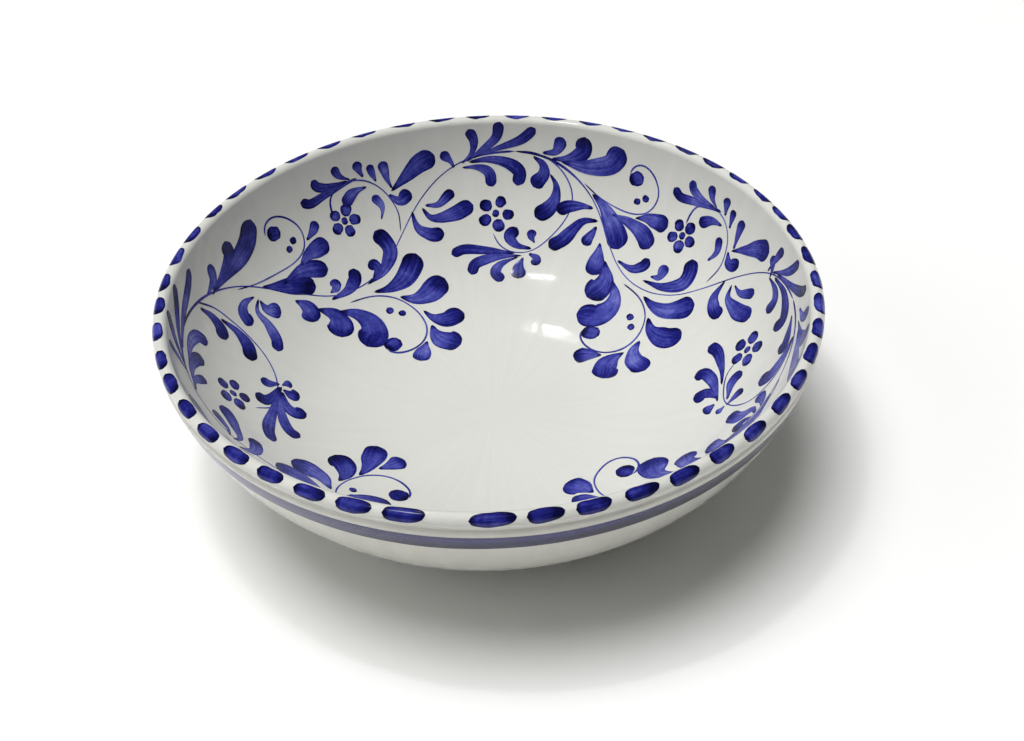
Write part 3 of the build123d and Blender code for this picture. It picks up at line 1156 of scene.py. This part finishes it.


def dash_angle(dash):
    """The angle round the lip of the middle of a dash, as in the CAD."""
    pitch = (360 - DASH_CLOSING_GAP) / DASH_COUNT
    angle = DASH_START_ANGLE + dash * pitch
    for turns, size, lead in DASH_SWINGS:
        angle += size * sin(radians(turns * 360 * dash / DASH_COUNT + lead))
    return angle


def dash_width(width, lean):
    """A dash: round and full where the brush came down, then drawn out to a narrower blunt end."""

    def half_width(share, length):
        oval = np.clip(1 - np.abs(2 * share - 1) ** 2.4, 0, 1) ** (1 / 2.1)
        return width / 2 * oval * (1 + lean * (0.2 - 0.8 * share))

    return half_width


def build_dashes(material):
    """The row of dashes over the lip, painted in one round from the front."""
    painting = Painting()
    for dash in range(DASH_COUNT):
        middle = dash_angle(dash) + rng.normal(0, 0.25)
        longer = 1 + DASH_LONG_SHARE * max(cos(radians(middle - DASH_LONG_ANGLE)), 0.0) ** DASH_LONG_POWER
        half = degrees(DASH_LENGTH * longer * rng.uniform(0.88, 1.06) / 2 / float(radius_at(DASH_PATH)))
        path = DASH_PATH + DASH_SIDE_SHIFT * cos(radians(middle)) ** 2 + rng.normal(0, 0.2)
        rise = rng.uniform(0.1, 0.7)
        controls = [(middle - half, path - rise), (middle, path - 0.1), (middle + half, path + rise)]
        width = DASH_WIDTH * rng.uniform(0.92, 1.0)
        brush(painting, controls, dash_width(width, rng.uniform(0.1, 0.4)), 30, 15, DASH_RELIEF, samples=48)
    piece = painting.build("lip_dash_strokes", material)
    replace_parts(piece, "lip_dashes")


def build_band(material):
    """The band round the outside, with the wandering edges of a brush held against the turning bowl."""
    turn = np.radians(ROUND)
    top = outside_path_at_height(BAND_TOP)
    foot = outside_path_at_height(BAND_FOOT)
    top_wander = 0.16 * np.sin(2 * turn + 0.5) + 0.1 * np.sin(7 * turn + 2.0) + 0.05 * np.sin(19 * turn)
    foot_wander = 0.2 * np.sin(3 * turn + 1.0) + 0.12 * np.sin(8 * turn) + 0.05 * np.sin(23 * turn + 1.0)
    shares = np.linspace(-1, 1, BAND_COLUMNS)
    crown = PAINT_STAND + BAND_RELIEF * (1 - shares**4)
    lifts = np.concatenate([crown, np.full(BAND_COLUMNS, -PAINT_SINK)])
    across = np.concatenate([shares, shares[::-1]])
    rings = []
    for share, lift in zip(across, lifts):
        path = (top + top_wander) * (1 - share) / 2 + (foot + foot_wander) * (1 + share) / 2
        rings.append(surface(ROUND, path, lift))
    points, faces = closed_rings(np.array(rings))
    across = np.repeat(across, SEGMENTS)
    # Darkest on one side, a painted dark reflection, and darker towards the lower edge
    painted_reflection_side = (0.5 + 0.5 * np.cos(np.tile(turn - radians(BAND_DARK_REFLECTION_ANGLE), 2 * BAND_COLUMNS))) ** 3
    darker_toward_foot = 0.15 + 0.2 * across
    attributes = {"across": across, "pool": darker_toward_foot + painted_reflection_side * (0.75 + 0.25 * across)}
    piece = make_piece("outside_band_brushed", points, faces, material, attributes)
    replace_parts(piece, "outside_band")


# ---------------------------------------------------------------- studio

# The camera, as an orbit round the middle of the rim
RIM_PLANE_HEIGHT = 94.0
CAMERA_DISTANCE = 825.0
CAMERA_ELEVATION = 36.63
CAMERA_ROLL = 2.466
CAMERA_YAW = 0.825
CAMERA_PITCH = 2.738
FOCAL_LENGTH = 58.43
SENSOR_WIDTH = 36.0

# Lights. A panel has a direction and a strength. A lamp has a direction, a size in metres and a power.
SKY_LIGHT = 0.1
PANEL_ANGLE = 38.0
PANELS = [
    ("top_panel", (-0.2, 0.02, 0.98), 2.6),
    ("left_panel", (-0.85, -0.1, 0.5), 0.5),
]
LAMP_DISTANCE = 1.6  # metres
LAMP_AIM = Vector((0, 0, 0.03))
LAMPS = [
    ("top_lamp", (-0.207, 0.02, 0.974), (0.05, 0.11), 2.4),
    ("back_lamp", (-0.068, 0.59, 0.807), (0.03, 0.07), 0.33),
]
BACKDROP_RADIUS = 20.0  # metres
BACKDROP_HEIGHT = 16.0
BACKDROP_SIDES = 64


def build_camera():
    elevation = radians(CAMERA_ELEVATION)
    backwards = Vector((0, -cos(elevation), sin(elevation)))
    aim = Vector((0, 0, RIM_PLANE_HEIGHT * MM))
    right = Vector((1, 0, 0))
    up = backwards.cross(right)
    facing = Matrix((right, up, backwards)).transposed()
    roll = Matrix.Rotation(radians(CAMERA_ROLL), 3, "Z")
    pitch = Matrix.Rotation(radians(CAMERA_PITCH), 3, "X")
    yaw = Matrix.Rotation(radians(CAMERA_YAW), 3, "Y")
    data = bpy.data.cameras.new("camera")
    data.lens = FOCAL_LENGTH
    data.sensor_width = SENSOR_WIDTH
    data.clip_start = 0.01
    camera = bpy.data.objects.new("camera", data)
    turned = facing @ roll.inverted() @ pitch.inverted() @ yaw.inverted()
    camera.matrix_world = Matrix.Translation(aim + backwards * CAMERA_DISTANCE * MM) @ turned.to_4x4()
    bpy.context.scene.collection.objects.link(camera)
    bpy.context.scene.camera = camera


def add_softbox(name, direction, size, power):
    """An area light that looks at the middle of the bowl from a direction."""
    data = bpy.data.lights.new(name, "AREA")
    data.shape = "RECTANGLE"
    data.size, data.size_y = size
    data.energy = power
    light = bpy.data.objects.new(name, data)
    away = Vector(direction).normalized()
    light.location = LAMP_AIM + away * LAMP_DISTANCE
    light.rotation_euler = away.to_track_quat("Z", "Y").to_euler()
    bpy.context.scene.collection.objects.link(light)


def add_panel(name, direction, strength):
    """A far, wide, even light. It is too soft to show as a reflection in the glaze."""
    data = bpy.data.lights.new(name, "SUN")
    data.energy = strength
    data.angle = radians(PANEL_ANGLE)
    light = bpy.data.objects.new(name, data)
    light.rotation_euler = Vector(direction).to_track_quat("Z", "Y").to_euler()
    light.visible_glossy = False
    bpy.context.scene.collection.objects.link(light)


def add_to_stage(name, points, faces, material):
    mesh = bpy.data.meshes.new(name)
    mesh.from_pydata(points, [], faces)
    mesh.materials.append(material)
    piece = bpy.data.objects.new(name, mesh)
    bpy.context.scene.collection.objects.link(piece)
    return piece


def build_studio():
    """Soft light from above, a pale floor and, far behind it, a pale backdrop that gives no light."""
    world = bpy.data.worlds.new("studio")
    world.use_nodes = True
    world.node_tree.nodes["Background"].inputs["Color"].default_value = (1.0, 1.0, 1.0, 1.0)
    world.node_tree.nodes["Background"].inputs["Strength"].default_value = SKY_LIGHT
    bpy.context.scene.world = world
    for panel in PANELS:
        add_panel(*panel)
    for lamp in LAMPS:
        add_softbox(*lamp)
    reach = BACKDROP_RADIUS
    corners = [(-reach, -reach, 0.0), (reach, -reach, 0.0), (reach, reach, 0.0), (-reach, reach, 0.0)]
    add_to_stage("floor", corners, [(0, 1, 2, 3)], pale_floor())
    around = np.arange(BACKDROP_SIDES) * 360.0 / BACKDROP_SIDES
    wall_points = [*ring(BACKDROP_RADIUS, 0.0, around), *ring(BACKDROP_RADIUS, BACKDROP_HEIGHT, around)]
    wall_faces = quads_between(BACKDROP_SIDES, 0, BACKDROP_SIDES)
    backdrop = add_to_stage("backdrop", wall_points, wall_faces, pale_backdrop())
    backdrop.visible_diffuse = False
    backdrop.visible_glossy = False
    backdrop.visible_shadow = False
    bpy.context.scene.view_settings.view_transform = "Standard"


# ---------------------------------------------------------------- everything

clay_material = fired_clay()
for node in ("clay_bowl", "lip_roll", "foot_ring"):
    clay_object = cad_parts[node]
    clay_object.data.materials.clear()
    clay_object.data.materials.append(clay_material)

glaze_material = white_glaze()
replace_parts(build_glaze_coat(glaze_material), "inside_glaze", "outside_glaze")
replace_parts(build_recess_glaze(glaze_material), "recess_glaze")
build_scroll(
    cobalt("cobalt_brushwork", 5.0, 0.25, 0.45),
    cobalt("cobalt_lines", 1.0, 0.16, 0.2),
    cobalt("cobalt_dabs", 1.4, 0.44, 0.7),
)
build_dashes(cobalt("cobalt_dashes", 2.2, 0.46, 0.45))
build_band(band_cobalt())
build_camera()
build_studio()
